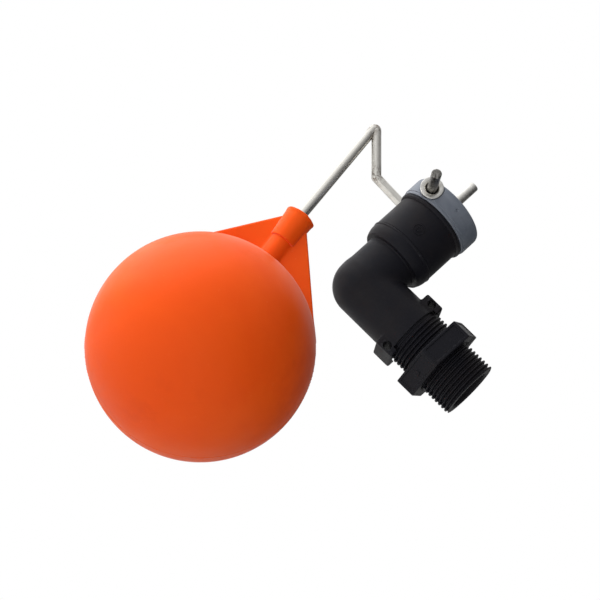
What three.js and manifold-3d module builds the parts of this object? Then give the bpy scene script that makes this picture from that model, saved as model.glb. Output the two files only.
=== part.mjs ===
// A one-inch float valve: an elbow with a threaded inlet, a barrel with a piston inside, an open
// head ring carrying the cross shaft, and a bent rod with a hollow ball that opens and shuts it.
//
// Millimetres. Inside the assembly the inlet thread runs along +X, the barrel runs up +Z from the
// crossing of the two bores, and the rod and ball hang on the +Y side. The whole assembly is then
// shifted so that the origin lies on the seating face of the upper lug.

import * as THREE from 'three';
import * as BufferGeometryUtils from 'three/addons/utils/BufferGeometryUtils.js';
import Module from 'manifold-3d';

const wasm = await Module();
wasm.setup();

// Inlet leg and thread (one-inch parallel pipe thread, eleven turns to the inch)
const THREAD_DIAMETER = 33.25;
const THREAD_PITCH = 25.4 / 11;
const THREAD_DEPTH = 0.64 * THREAD_PITCH;
const THREAD_START = 36;
const INLET_END = 78.5;
const THREAD_LEAD = 0.5;
const BORE_RADIUS = 12;
const LEG_RADIUS = 16.3;
const NECK_RADIUS = 16;

// Lugs that bear on the tank wall
const LUG_START = 27.5;
const LUG_END = 38.8;
const LUG_REACH = 19.4;
const LUG_WIDTH = 18;
const LUG_HOLE_RADIUS = 2.2;
const LUG_HOLE_INSET = 2.9;
const RELIEF = 0.6;
const SEAT_POINT_HEIGHT = 18;

// Locknut
const NUT_ACROSS_FLATS = 43;
const NUT_HEIGHT = 11.3;
const NUT_START = 49.1;
const NUT_TURN = 24;

// Collar on the elbow, barrel and head ring, as heights along the barrel
const COLLAR_BOTTOM = 21.3;
const COLLAR_FOOT_RADIUS = 18.3;
const COLLAR_BEAD = 0.4;
const SEAM_HEIGHT = 29.4;
const GUIDE_HEIGHT = 46.8;
const LIP_HEIGHT = 49.4;
const RING_BOTTOM = 52.2;
const RING_TOP = 65.05;
const BARREL_RADIUS = 20.2;
const BARREL_BORE = 16;
const GUIDE_BORE = 17.4;
const LIP_RADIUS = 21.5;
const RING_RADIUS = 22.1;
const RING_BORE = 17;
const SPIGOT_RADIUS = 19;
const SPIGOT_TOP = 54.4;
const SOCKET_RADIUS = 17.2;
const SOCKET_BOTTOM = 24;
const BODY_ORING_RADIUS = 16.2;
const BODY_ORING_SECTION = 0.8;
const BODY_ORING_HEIGHT = SOCKET_BOTTOM + 2.6;
const BARREL_GROOVE_RADIUS = 15.2;
const MARK_RADIUS = 2.9;
const MARK_HEIGHT = 37.3;
const MARK_OFFSET = 1.2;
const POCKET_RADIUS = 12.6;
const FLOOR_HEIGHT = 30.5;

// Cross shaft, arm and linkage
const ROD_RADIUS = 2.75;
const PIVOT_OFFSET = 10.3;
const PIVOT_HEIGHT = 58.8;
const SHAFT_NEAR_END = 40.6;
const ARM_PLANE = 29.5;
const SWING = 45;
const ARM_FOOT_LENGTH = 36.14;
const ARM_FOOT_ANGLE = 176.96;
const ARM_RISE_LENGTH = 31.26;
const ARM_RISE_ANGLE = 134.9;
const ARM_DROP_LENGTH = 69.78;
const ARM_DROP_ANGLE = 278.41;
const FLOAT_REACH = 93.4;
const FLOAT_REACH_ANGLE = 280.6;
const SHAFT_BEND = 7;
const SHAFT_BEND_STEPS = 6;
const BUSH_FLANGE_RADIUS = 6.3;
const BUSH_FLANGE = 1.2;
const BUSH_RADIUS = 3.8;
const BUSH_BORE = 3.2;
const BUSH_FACE = 20.8;
const FINGER_HALF_WIDTH = 5.8;
const FINGER_REACH = 13.8;
const FINGER_HUB_RADIUS = 5;
const FINGER_CHEEK = 1.7;
const FORK_START = 5.6;
const FORK_GAP = 3.3;
const SLOT_START = 8;
const SLOT_CLEARANCE = 0.4;
const SCREW_RADIUS = 1.45;
const SCREW_TOP = 4.7;
const SCREW_SOCKET = 0.8;

// Piston and seat
const SEAT_LIP_HEIGHT = 32.4;
const SEAT_BORE = 7.5;
const SHUT_GAP = 0.15;
const SEAT_FLANGE_RADIUS = 14.6;
const NOZZLE_GROOVE_RADIUS = 11.1;
const NOZZLE_ORING_RADIUS = 11.85;
const NOZZLE_ORING_SECTION = 0.6;
const NOZZLE_ORING_HEIGHT = SOCKET_BOTTOM + 3.1;
const GUIDE_RIM_RADIUS = 14.8;
const GUIDE_HUB_RADIUS = 5.4;
const GUIDE_ARM = 2.4;
const LIFT = 2 * PIVOT_OFFSET * Math.tan( THREE.MathUtils.degToRad( SWING / 2 ) );
const DISC_HEIGHT = SEAT_LIP_HEIGHT + SHUT_GAP + LIFT;
const DISC_THICKNESS = 2.2;
const DISC_RADIUS = 10.5;
const PISTON_THICKNESS = 3;
const STEM_RADIUS = 2.75;
const STEM_TOP = 85;
const WASHER_RADIUS = 5;
const WASHER_THICKNESS = 0.8;
const DISC_NUT_CORNER = 4.6;
const DISC_NUT_HEIGHT = 2.4;
const CROSS_PIN_RADIUS = 1.5;

// Float
const BALL_RADIUS = 61.5;
const BALL_WALL = 3;
const FLOAT_STEM_RADIUS = 6.3;
const SLEEVE_START = 75.1;
const SLEEVE_TOP = 92.4;
const SLEEVE_RADIUS = 7;
const SLEEVE_RIM = 8.1;
const WEB_THICKNESS = 4;
const WEB_TOP = 83.5;
const WEB_CORNER = 9.5;
const ROD_END = 66;
const INSERT_RADIUS = 4.2;

// Facets round a circle, running gap between faces, and gap round a fixed spigot
const FINE = 40;
const COARSE = 28;
const GAP = 0.05;
const FIT = 0.2;
const rad = THREE.MathUtils.degToRad;

// Geometry helpers

function toSolid( geometry ) {

	const plain = geometry.clone();
	plain.deleteAttribute( 'normal' );
	plain.deleteAttribute( 'uv' );
	const merged = BufferGeometryUtils.mergeVertices( plain, 1e-4 );
	return new wasm.Manifold( new wasm.Mesh( {
		numProp: 3,
		vertProperties: merged.attributes.position.array,
		triVerts: new Uint32Array( merged.index.array )
	} ) );

}

function toGeometry( solid ) {

	const mesh = solid.getMesh();
	const geometry = new THREE.BufferGeometry();
	geometry.setAttribute( 'position', new THREE.BufferAttribute( mesh.vertProperties, 3 ) );
	geometry.setIndex( new THREE.BufferAttribute( mesh.triVerts, 1 ) );
	geometry.computeVertexNormals();
	return geometry;

}

function join( ...geometries ) {

	return toGeometry( geometries.map( toSolid ).reduce( ( all, next ) => all.add( next ) ) );

}

function cut( geometry, ...tools ) {

	const whole = toSolid( geometry );
	return toGeometry( tools.map( toSolid ).reduce( ( rest, tool ) => rest.subtract( tool ), whole ) );

}

function overlap( first, second ) {

	return toGeometry( toSolid( first ).intersect( toSolid( second ) ) );

}

// A turned piece about +Z. The profile lists [ radius, height ], climbing on the outside.
function turned( profile, segments = COARSE ) {

	const points = profile.map( ( [ r, z ] ) => new THREE.Vector2( r, z ) );
	if ( profile[ 0 ][ 0 ] > 0 ) points.push( points[ 0 ].clone() );
	const geometry = new THREE.LatheGeometry( points, segments );
	geometry.rotateX( Math.PI / 2 );
	return geometry;

}

function rodAlongZ( radius, from, to, segments = COARSE ) {

	return turned( [ [ 0, from ], [ radius, from ], [ radius, to ], [ 0, to ] ], segments );

}

// A tube or washer about +Z
function sleeve( outer, inner, from, to, segments = COARSE ) {

	return turned( [ [ outer, from ], [ outer, to ], [ inner, to ], [ inner, from ] ], segments );

}

function alongX( geometry ) {

	return geometry.rotateY( Math.PI / 2 );

}

function alongY( geometry ) {

	return geometry.rotateX( - Math.PI / 2 );

}

function arc( centre, radius, fromDegrees, toDegrees, steps ) {

	return Array.from( { length: steps + 1 }, ( _, i ) => {

		const angle = rad( THREE.MathUtils.lerp( fromDegrees, toDegrees, i / steps ) );
		return [ centre[ 0 ] + radius * Math.cos( angle ), centre[ 1 ] + radius * Math.sin( angle ) ];

	} );

}

function box( width, depth, height, x, y, z ) {

	return new THREE.BoxGeometry( width, depth, height ).translate( x, y, z );

}

// A bar about +Z with a one-start thread. The thread form is swept once round for every turn, each
// station a little higher than the one before, so the end of the form meets its own start one
// turn later. Both ends close on the axis, one pitch beyond the length that is kept.
function threadedBar( length, segments = 20 ) {

	const crest = THREAD_DIAMETER / 2;
	const root = crest - THREAD_DEPTH;
	const form = [ [ 0, root ], [ 0.14, root ], [ 0.47, crest ], [ 0.67, crest ] ];
	const stations = segments * Math.ceil( length / THREAD_PITCH + 2 );
	const positions = [];
	for ( let station = 0; station <= stations + segments; station ++ ) {

		for ( const [ rise, radius ] of form ) {

			const angle = 2 * Math.PI * station / segments;
			const height = ( station / segments + rise - 2 ) * THREAD_PITCH;
			positions.push( radius * Math.cos( angle ), radius * Math.sin( angle ), height );

		}

	}

	const vertex = ( station, place ) => place < form.length
		? station * form.length + place
		: ( station + segments ) * form.length;
	const triangles = [];
	for ( let station = 0; station < stations; station ++ ) {

		for ( let place = 0; place < form.length; place ++ ) {

			const a = vertex( station, place );
			const b = vertex( station + 1, place );
			const c = vertex( station + 1, place + 1 );
			const d = vertex( station, place + 1 );
			triangles.push( a, b, c, a, c, d );

		}

	}

	const foot = positions.length / 3;
	positions.push( 0, 0, - 3 * THREAD_PITCH, 0, 0, length + 4 * THREAD_PITCH );
	const rim = ( station ) => {

		const round = Array.from( { length: segments }, ( _, i ) => vertex( station + i, 0 ) );
		return [ ...round, ...[ 4, 3, 2, 1 ].map( ( place ) => vertex( station, place ) ) ];

	};

	const low = rim( 0 );
	const high = rim( stations );
	low.forEach( ( corner, i ) => {

		const next = ( i + 1 ) % low.length;
		triangles.push( foot, low[ next ], corner, foot + 1, high[ i ], high[ next ] );

	} );
	const geometry = new THREE.BufferGeometry();
	geometry.setAttribute( 'position', new THREE.Float32BufferAttribute( positions, 3 ) );
	geometry.setIndex( triangles );
	return geometry;

}

// Sub-part geometries

function threadedInlet() {

	const length = INLET_END - THREAD_START + 1;
	const envelope = turned( [
		[ 0, 0 ], [ THREAD_DIAMETER / 2 + 1, 0 ], [ THREAD_DIAMETER / 2 + 1, length - THREAD_LEAD - 1 ],
		[ THREAD_DIAMETER / 2 - THREAD_LEAD, length ], [ 0, length ]
	] );
	return overlap( threadedBar( length ), envelope ).translate( 0, 0, THREAD_START - 1 );

}

// One lug. The relief keeps the seating face clear of the thread crests.
function lug( side ) {

	const middle = ( LUG_START + LUG_END ) / 2;
	const height = side * ( LUG_REACH + BORE_RADIUS ) / 2;
	const block = box( LUG_END - LUG_START, LUG_WIDTH, LUG_REACH - BORE_RADIUS, middle, 0, height );
	const hole = alongY( rodAlongZ( LUG_HOLE_RADIUS, - LUG_WIDTH, LUG_WIDTH, 16 ) );
	hole.translate( middle, 0, side * ( LUG_REACH - LUG_HOLE_INSET ) );
	const relief = rodAlongZ( THREAD_DIAMETER / 2 + RELIEF, LUG_END - RELIEF, LUG_END + 1 );
	return cut( block, hole, alongX( relief ) );

}

function valveBody() {

	const leg = alongX( turned( [
		...arc( [ 0, 0 ], LEG_RADIUS, - 90, 0, 8 ),
		[ LEG_RADIUS, THREAD_START - 0.5 ], [ LEG_RADIUS - 0.5, THREAD_START ], [ 0, THREAD_START ]
	], FINE ) );
	const neck = rodAlongZ( NECK_RADIUS, 0, COLLAR_BOTTOM + 1, FINE );
	const collar = turned( [
		[ 0, COLLAR_BOTTOM ], [ COLLAR_FOOT_RADIUS, COLLAR_BOTTOM ],
		[ COLLAR_FOOT_RADIUS + 0.5, COLLAR_BOTTOM + 0.5 ],
		[ BARREL_RADIUS, COLLAR_BOTTOM + 4 ], [ BARREL_RADIUS, SEAM_HEIGHT - 1.2 ],
		[ BARREL_RADIUS + COLLAR_BEAD, SEAM_HEIGHT - 0.8 ],
		[ BARREL_RADIUS + COLLAR_BEAD, SEAM_HEIGHT - 0.2 ],
		[ BARREL_RADIUS + COLLAR_BEAD / 2, SEAM_HEIGHT ], [ 0, SEAM_HEIGHT ]
	], FINE );
	const inletBore = alongX( turned( [
		...arc( [ 0, 0 ], BORE_RADIUS, - 90, 0, 6 ),
		[ BORE_RADIUS, INLET_END + 1 ], [ 0, INLET_END + 1 ]
	] ) );
	const neckBore = rodAlongZ( BORE_RADIUS - 0.3, 0, SEAM_HEIGHT + 1 );
	const socket = rodAlongZ( SOCKET_RADIUS, SOCKET_BOTTOM, SEAM_HEIGHT + 1, FINE );
	const outside = join( leg, neck, collar, alongX( threadedInlet() ), lug( 1 ), lug( - 1 ) );
	return cut( outside, inletBore, neckBore, socket );

}

function bodyOring() {

	const ring = new THREE.TorusGeometry( BODY_ORING_RADIUS, BODY_ORING_SECTION, 6, COARSE );
	return ring.translate( 0, 0, BODY_ORING_HEIGHT );

}

function barrel() {

	const spigot = SOCKET_RADIUS - FIT;
	const foot = SOCKET_BOTTOM + 0.3;
	const mark = alongY( rodAlongZ( MARK_RADIUS, BARREL_RADIUS - 1, BARREL_RADIUS + 0.35, 16 ) );
	mark.rotateZ( Math.PI ).translate( MARK_OFFSET, 0, MARK_HEIGHT );
	const shell = turned( [
		[ POCKET_RADIUS, foot ], [ spigot, foot ], [ spigot, foot + 1.2 ],
		[ BARREL_GROOVE_RADIUS, foot + 1.2 ], [ BARREL_GROOVE_RADIUS, foot + 3.4 ],
		[ spigot, foot + 3.4 ], [ spigot, SEAM_HEIGHT + GAP ],
		[ BARREL_RADIUS - 0.3, SEAM_HEIGHT + GAP ], [ BARREL_RADIUS, SEAM_HEIGHT + 0.4 ],
		[ BARREL_RADIUS, LIP_HEIGHT ], [ LIP_RADIUS, LIP_HEIGHT + 0.6 ], [ LIP_RADIUS, RING_BOTTOM - 0.5 ],
		[ LIP_RADIUS - 0.4, RING_BOTTOM - GAP ], [ SPIGOT_RADIUS, RING_BOTTOM - GAP ],
		[ SPIGOT_RADIUS, SPIGOT_TOP ], [ GUIDE_BORE, SPIGOT_TOP ], [ GUIDE_BORE, GUIDE_HEIGHT ],
		[ BARREL_BORE, GUIDE_HEIGHT ], [ BARREL_BORE, FLOOR_HEIGHT ], [ POCKET_RADIUS, FLOOR_HEIGHT ]
	], FINE );
	return join( shell, mark );

}

function headRing() {

	const step = RING_BOTTOM + 1.6;
	const ring = turned( [
		[ SPIGOT_RADIUS + FIT, RING_BOTTOM ], [ RING_RADIUS - 0.7, RING_BOTTOM ],
		[ RING_RADIUS - 0.35, RING_BOTTOM + 0.3 ], [ RING_RADIUS - 0.35, step ], [ RING_RADIUS, step + 0.3 ],
		...arc( [ RING_RADIUS - 1.5, RING_TOP - 1.5 ], 1.5, 0, 90, 4 ),
		[ RING_BORE + 0.6, RING_TOP ], [ RING_BORE, RING_TOP - 0.6 ], [ RING_BORE, SPIGOT_TOP + FIT ],
		[ SPIGOT_RADIUS + FIT, SPIGOT_TOP + FIT ]
	], FINE );
	const acrossShaft = ( geometry ) => alongY( geometry ).translate( - PIVOT_OFFSET, 0, PIVOT_HEIGHT );
	const bosses = acrossShaft( rodAlongZ( BUSH_FLANGE_RADIUS - 0.2, - BUSH_FACE, BUSH_FACE ) );
	const inside = turned( [
		[ 0, RING_BOTTOM - 1 ], [ SPIGOT_RADIUS + FIT, RING_BOTTOM - 1 ],
		[ SPIGOT_RADIUS + FIT, SPIGOT_TOP + FIT ], [ RING_BORE, SPIGOT_TOP + FIT ],
		[ RING_BORE, RING_TOP + 1 ], [ 0, RING_TOP + 1 ]
	], FINE );
	const shaftHole = acrossShaft( rodAlongZ( BUSH_RADIUS + GAP, - RING_RADIUS - 9, RING_RADIUS + 9 ) );
	const spotFaces = [ 1, - 1 ].map( ( side ) => {

		const facer = rodAlongZ( BUSH_FLANGE_RADIUS + 0.4, BUSH_FACE, BUSH_FACE + 9 );
		if ( side < 0 ) facer.rotateX( Math.PI );
		return acrossShaft( facer );

	} );
	return cut( join( ring, bosses ), inside, shaftHole, ...spotFaces );

}

// A flanged bush whose flange bears on the head ring; the flange is at the low end
function bush() {

	const face = BUSH_FACE + GAP + BUSH_FLANGE;
	const inner = FINGER_HALF_WIDTH + 0.4;
	return turned( [
		[ BUSH_BORE + 0.7, - face ], [ BUSH_FLANGE_RADIUS - 0.4, - face ],
		[ BUSH_FLANGE_RADIUS, - face + 0.4 ], [ BUSH_FLANGE_RADIUS, - BUSH_FACE - GAP ],
		[ BUSH_RADIUS, - BUSH_FACE - GAP ], [ BUSH_RADIUS, - inner ], [ BUSH_BORE, - inner ],
		[ BUSH_BORE, - face + 0.9 ]
	] );

}

function locknut() {

	const corner = NUT_ACROSS_FLATS / Math.sqrt( 3 );
	const chamfer = 1.3;
	const hexagon = new THREE.CylinderGeometry( corner, corner, NUT_HEIGHT, 6 );
	hexagon.rotateX( Math.PI / 2 ).translate( 0, 0, NUT_HEIGHT / 2 );
	const envelope = turned( [
		[ 0, 0 ], [ NUT_ACROSS_FLATS / 2, 0 ], [ corner + 0.1, chamfer ],
		[ corner + 0.1, NUT_HEIGHT - chamfer ], [ NUT_ACROSS_FLATS / 2, NUT_HEIGHT ], [ 0, NUT_HEIGHT ]
	], 36 );
	const hole = rodAlongZ( THREAD_DIAMETER / 2 + 0.3, - 1, NUT_HEIGHT + 1, FINE );
	return cut( overlap( hexagon, envelope ), hole );

}

function nozzleSeat() {

	const tube = POCKET_RADIUS - FIT;
	const foot = SOCKET_BOTTOM + 0.6;
	return turned( [
		[ BORE_RADIUS - 1.2, foot ], [ tube, foot ], [ tube, foot + 1.6 ],
		[ NOZZLE_GROOVE_RADIUS, foot + 1.6 ], [ NOZZLE_GROOVE_RADIUS, foot + 3.4 ],
		[ tube, foot + 3.4 ], [ tube, FLOOR_HEIGHT + GAP ],
		[ SEAT_FLANGE_RADIUS, FLOOR_HEIGHT + GAP ], [ SEAT_FLANGE_RADIUS, FLOOR_HEIGHT + 1 ],
		[ SEAT_BORE + 2, FLOOR_HEIGHT + 1 ],
		[ SEAT_BORE + 1.2, SEAT_LIP_HEIGHT ], [ SEAT_BORE + 0.3, SEAT_LIP_HEIGHT ],
		[ SEAT_BORE, SEAT_LIP_HEIGHT - 0.3 ], [ SEAT_BORE, FLOOR_HEIGHT - 2 ]
	] );

}

function nozzleOring() {

	const ring = new THREE.TorusGeometry( NOZZLE_ORING_RADIUS, NOZZLE_ORING_SECTION, 6, COARSE );
	return ring.translate( 0, 0, NOZZLE_ORING_HEIGHT );

}

// A rim, a hub and four arms that leave the water free to pass
function stemGuide() {

	const top = GUIDE_HEIGHT + 2.8;
	const rim = sleeve( GUIDE_BORE - FIT, GUIDE_RIM_RADIUS, GUIDE_HEIGHT + GAP, top );
	const hub = rodAlongZ( GUIDE_HUB_RADIUS, GUIDE_HEIGHT + GAP, top, 20 );
	const arms = [ 0, 90 ].map( ( degrees ) => {

		const across = box( 2 * GUIDE_RIM_RADIUS + 2, GUIDE_ARM, 2.2, 0, 0, GUIDE_HEIGHT + 1.25 );
		return across.rotateZ( rad( degrees ) );

	} );
	const hole = rodAlongZ( STEM_RADIUS + 0.3, GUIDE_HEIGHT - 1, top + 1, 24 );
	return cut( join( rim, hub, ...arms ), hole );

}

function pistonStem() {

	const foot = DISC_HEIGHT - 4.4;
	const stem = turned( [
		[ 0, foot ], [ STEM_RADIUS - 0.5, foot ], [ STEM_RADIUS, foot + 0.5 ],
		[ STEM_RADIUS, STEM_TOP - 0.5 ], [ STEM_RADIUS - 0.5, STEM_TOP ], [ 0, STEM_TOP ]
	], 24 );
	const hole = alongY( rodAlongZ( CROSS_PIN_RADIUS + GAP, - STEM_RADIUS - 1, STEM_RADIUS + 1, 20 ) );
	return cut( stem, hole.translate( 0, 0, PIVOT_HEIGHT + LIFT / 2 ) );

}

function crossPin() {

	const half = FINGER_HALF_WIDTH - 0.1;
	return alongY( rodAlongZ( CROSS_PIN_RADIUS, - half, half, 20 ) );

}

function piston() {

	const foot = DISC_HEIGHT + DISC_THICKNESS + 0.02;
	const top = foot + PISTON_THICKNESS;
	return turned( [
		[ STEM_RADIUS + GAP, foot ], [ DISC_RADIUS + 1, foot ], [ DISC_RADIUS + 1, foot + 1.6 ],
		[ DISC_RADIUS, foot + 2 ], [ 6, top ], [ STEM_RADIUS + GAP, top ]
	] );

}

function seatDisc() {

	return sleeve( DISC_RADIUS, STEM_RADIUS + GAP, DISC_HEIGHT, DISC_HEIGHT + DISC_THICKNESS );

}

function discWasher() {

	const top = DISC_HEIGHT - 0.02;
	return sleeve( WASHER_RADIUS, STEM_RADIUS + GAP, top - WASHER_THICKNESS, top, 20 );

}

function discNut() {

	const nut = new THREE.CylinderGeometry( DISC_NUT_CORNER, DISC_NUT_CORNER, DISC_NUT_HEIGHT, 6 );
	const hole = rodAlongZ( STEM_RADIUS + GAP, - 2, 2, 24 );
	const middle = DISC_HEIGHT - WASHER_THICKNESS - 0.04 - DISC_NUT_HEIGHT / 2;
	return cut( nut.rotateX( Math.PI / 2 ), hole ).translate( 0, 0, middle );

}

// The next pieces sit about the shaft axis, with +Y along the shaft

// A point of the arm plane at a distance and an angle from another, both [ x, z ]
function onward( from, length, degrees ) {

	const angle = rad( degrees );
	return [ from[ 0 ] + length * Math.cos( angle ), from[ 1 ] + length * Math.sin( angle ) ];

}

const armFoot = onward( [ 0, 0 ], ARM_FOOT_LENGTH, ARM_FOOT_ANGLE );
const armTop = onward( armFoot, ARM_RISE_LENGTH, ARM_RISE_ANGLE );
const sleeveMouth = onward( armTop, ARM_DROP_LENGTH, ARM_DROP_ANGLE );
const ballCentre = onward( sleeveMouth, FLOAT_REACH, FLOAT_REACH_ANGLE );
const rodTip = onward( sleeveMouth, FLOAT_REACH - ROD_END, FLOAT_REACH_ANGLE );

// The shaft and the first straight of the arm, joined by a quarter bend. The path takes equal
// steps in t, so that the bend is stepped finely and the straights are not.
class ShaftPath extends THREE.Curve {

	getPoint( t ) {

		const place = THREE.MathUtils.clamp( t, 0, 1 ) * ( SHAFT_BEND_STEPS + 2 );
		const turn = THREE.MathUtils.clamp( ( place - 1 ) / SHAFT_BEND_STEPS, 0, 1 ) * Math.PI / 2;
		const before = Math.max( 0, 1 - place ) * ( ARM_PLANE - SHAFT_BEND + SHAFT_NEAR_END );
		const beyond = Math.max( 0, place - SHAFT_BEND_STEPS - 1 ) * ( ARM_FOOT_LENGTH - SHAFT_BEND );
		const out = SHAFT_BEND * ( 1 - Math.cos( turn ) ) + beyond;
		const across = ARM_PLANE - SHAFT_BEND * ( 1 - Math.sin( turn ) ) - before;
		const ahead = [ armFoot[ 0 ] / ARM_FOOT_LENGTH, armFoot[ 1 ] / ARM_FOOT_LENGTH ];
		return new THREE.Vector3( ahead[ 0 ] * out, across, ahead[ 1 ] * out );

	}

	getUtoTmapping( u ) {

		return u;

	}

}

// A straight of the rod in the arm plane, with a round end at its start
function armStraight( from, to ) {

	const length = Math.hypot( to[ 0 ] - from[ 0 ], to[ 1 ] - from[ 1 ] );
	const straight = turned( [
		...arc( [ 0, 0 ], ROD_RADIUS, - 90, 0, 5 ), [ ROD_RADIUS, length ], [ 0, length ]
	], 24 );
	straight.rotateY( Math.atan2( to[ 0 ] - from[ 0 ], to[ 1 ] - from[ 1 ] ) );
	return straight.translate( from[ 0 ], ARM_PLANE, from[ 1 ] );

}

// One rod: the cross shaft, a quarter bend, two sharp bends whose outsides are round, and a slight
// bend at the mouth of the float's sleeve
function floatArm() {

	const section = new THREE.Shape().absarc( 0, 0, ROD_RADIUS, 0, 2 * Math.PI );
	const shaft = new THREE.ExtrudeGeometry( section, {
		extrudePath: new ShaftPath(), steps: SHAFT_BEND_STEPS + 2, curveSegments: 12
	} );
	const rise = armStraight( armFoot, armTop );
	const drop = armStraight( armTop, sleeveMouth );
	return join( shaft, rise, drop, armStraight( sleeveMouth, rodTip ) );

}

// A hub with a fork whose slots take the cross pin, pointing along +X
function armFinger() {

	const reach = FINGER_REACH;
	const width = 2 * FINGER_HALF_WIDTH;
	const slotWidth = 2 * ( CROSS_PIN_RADIUS + SLOT_CLEARANCE );
	const hub = rodAlongZ( FINGER_HUB_RADIUS, - FINGER_HALF_WIDTH, FINGER_HALF_WIDTH, 24 );
	const cheeks = box( reach, width, slotWidth + 2 * FINGER_CHEEK, reach / 2, 0, 0 );
	const slot = box( reach, 2 * width, slotWidth, SLOT_START + reach / 2, 0, 0 );
	const between = box( reach, 2 * FORK_GAP, 4 * FINGER_HUB_RADIUS, FORK_START + reach / 2, 0, 0 );
	const shaftHole = alongY( rodAlongZ( ROD_RADIUS + GAP, - width, width, 24 ) );
	const screwHole = rodAlongZ( SCREW_RADIUS + 0.1, 0, 2 * SCREW_TOP, 16 );
	return cut( join( alongY( hub ), cheeks ), slot, between, shaftHole, screwHole );

}

function fingerScrew() {

	const screw = rodAlongZ( SCREW_RADIUS, ROD_RADIUS + 0.12, SCREW_TOP, 16 );
	const socket = new THREE.CylinderGeometry( SCREW_SOCKET, SCREW_SOCKET, 2.4, 6 );
	return cut( screw, socket.rotateX( Math.PI / 2 ).translate( 0, 0, SCREW_TOP ) );

}

// The ball, its stem, the flared sleeve and the web beside them, about the ball's centre with
// the rod's line along +Z
function floatBall() {

	const polar = Math.asin( FLOAT_STEM_RADIUS / BALL_RADIUS );
	const outside = turned( [
		...arc( [ 0, 0 ], BALL_RADIUS, - 90, 90 - THREE.MathUtils.radToDeg( polar ), 22 ),
		[ FLOAT_STEM_RADIUS, SLEEVE_START ], [ SLEEVE_RADIUS, SLEEVE_START + 0.4 ],
		[ SLEEVE_RIM - 0.3, SLEEVE_TOP - 2.4 ], [ SLEEVE_RIM, SLEEVE_TOP - 0.6 ],
		[ SLEEVE_RIM - 0.6, SLEEVE_TOP ], [ 0, SLEEVE_TOP ]
	], FINE );
	const tangent = Math.atan2( WEB_CORNER, WEB_TOP ) + Math.acos( BALL_RADIUS / Math.hypot( WEB_CORNER, WEB_TOP ) );
	const touch = [ BALL_RADIUS * Math.sin( tangent ), BALL_RADIUS * Math.cos( tangent ) ];
	const shape = new THREE.Shape( [
		new THREE.Vector2( - touch[ 0 ], touch[ 1 ] ), new THREE.Vector2( touch[ 0 ], touch[ 1 ] ),
		new THREE.Vector2( WEB_CORNER, WEB_TOP ), new THREE.Vector2( - WEB_CORNER, WEB_TOP )
	] );
	const web = new THREE.ExtrudeGeometry( shape, { depth: WEB_THICKNESS, bevelEnabled: false } );
	web.translate( 0, 0, - WEB_THICKNESS / 2 ).rotateX( Math.PI / 2 );
	const hollow = turned( arc( [ 0, 0 ], BALL_RADIUS - BALL_WALL, - 90, 90, 12 ) );
	const rodBore = rodAlongZ( ROD_RADIUS + 0.3, 0, SLEEVE_TOP + 1, 24 );
	const insertBore = rodAlongZ( INSERT_RADIUS + 0.3, SLEEVE_START - 0.3, SLEEVE_TOP - 2, 24 );
	return cut( join( outside, web ), hollow, rodBore, insertBore );

}

function floatInsert() {

	return sleeve( INSERT_RADIUS, ROD_RADIUS + 0.3, SLEEVE_START, SLEEVE_TOP - 2.3, 24 );

}

// Materials

function material( color, roughness, metalness ) {

	return new THREE.MeshStandardMaterial( { color, roughness, metalness } );

}

const blackNylon = () => material( 0x26262a, 0.5, 0 );
const greyNylon = () => material( 0x7d838f, 0.55, 0 );
const orangePolyethylene = () => material( 0xf0561c, 0.5, 0 );
const whiteAcetal = () => material( 0xe6e4dc, 0.4, 0 );
const blackRubber = () => material( 0x17171a, 0.85, 0 );
const stainless = () => material( 0xb9b6b0, 0.3, 1 );
const brass = () => material( 0xb08d4a, 0.35, 1 );

// Assembly

function addPiece( group, name, geometry, pieceMaterial ) {

	const mesh = new THREE.Mesh( geometry, pieceMaterial );
	mesh.name = name;
	group.add( mesh );
	return mesh;

}

const assembly = new THREE.Group();
assembly.position.set( - LUG_END, 0, - SEAT_POINT_HEIGHT );

addPiece( assembly, 'valve_body', valveBody(), blackNylon() );
addPiece( assembly, 'barrel', barrel(), blackNylon() );
addPiece( assembly, 'body_oring', bodyOring(), blackRubber() );
addPiece( assembly, 'nozzle_seat', nozzleSeat(), whiteAcetal() );
addPiece( assembly, 'nozzle_oring', nozzleOring(), blackRubber() );
addPiece( assembly, 'stem_guide', stemGuide(), whiteAcetal() );
addPiece( assembly, 'head_ring', headRing(), greyNylon() );

const nut = addPiece( assembly, 'locknut', locknut(), blackNylon() );
nut.position.x = NUT_START;
nut.rotation.set( rad( NUT_TURN ), rad( 90 ), 0, 'XYZ' );

addPiece( assembly, 'piston_stem', pistonStem(), stainless() );
addPiece( assembly, 'piston', piston(), whiteAcetal() );
addPiece( assembly, 'seat_disc', seatDisc(), blackRubber() );
addPiece( assembly, 'disc_washer', discWasher(), stainless() );
addPiece( assembly, 'disc_nut', discNut(), stainless() );
const pin = addPiece( assembly, 'cross_pin', crossPin(), stainless() );
pin.position.z = PIVOT_HEIGHT + LIFT / 2;

const shaftLine = new THREE.Group();
shaftLine.position.set( - PIVOT_OFFSET, 0, PIVOT_HEIGHT );
assembly.add( shaftLine );
const nearBush = addPiece( shaftLine, 'near_bush', bush(), stainless() );
nearBush.rotation.x = rad( - 90 );
const farBush = addPiece( shaftLine, 'far_bush', bush(), stainless() );
farBush.rotation.x = rad( 90 );
addPiece( shaftLine, 'float_arm', floatArm(), stainless() );

const finger = new THREE.Group();
finger.rotation.y = rad( - SWING / 2 );
shaftLine.add( finger );
addPiece( finger, 'arm_finger', armFinger(), whiteAcetal() );
addPiece( finger, 'finger_screw', fingerScrew(), stainless() );

const floatLine = new THREE.Group();
floatLine.position.set( ballCentre[ 0 ], ARM_PLANE, ballCentre[ 1 ] );
floatLine.rotation.y = rad( 270 - FLOAT_REACH_ANGLE );
shaftLine.add( floatLine );
addPiece( floatLine, 'float_ball', floatBall(), orangePolyethylene() );
addPiece( floatLine, 'float_insert', floatInsert(), brass() );

export default assembly;
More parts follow.
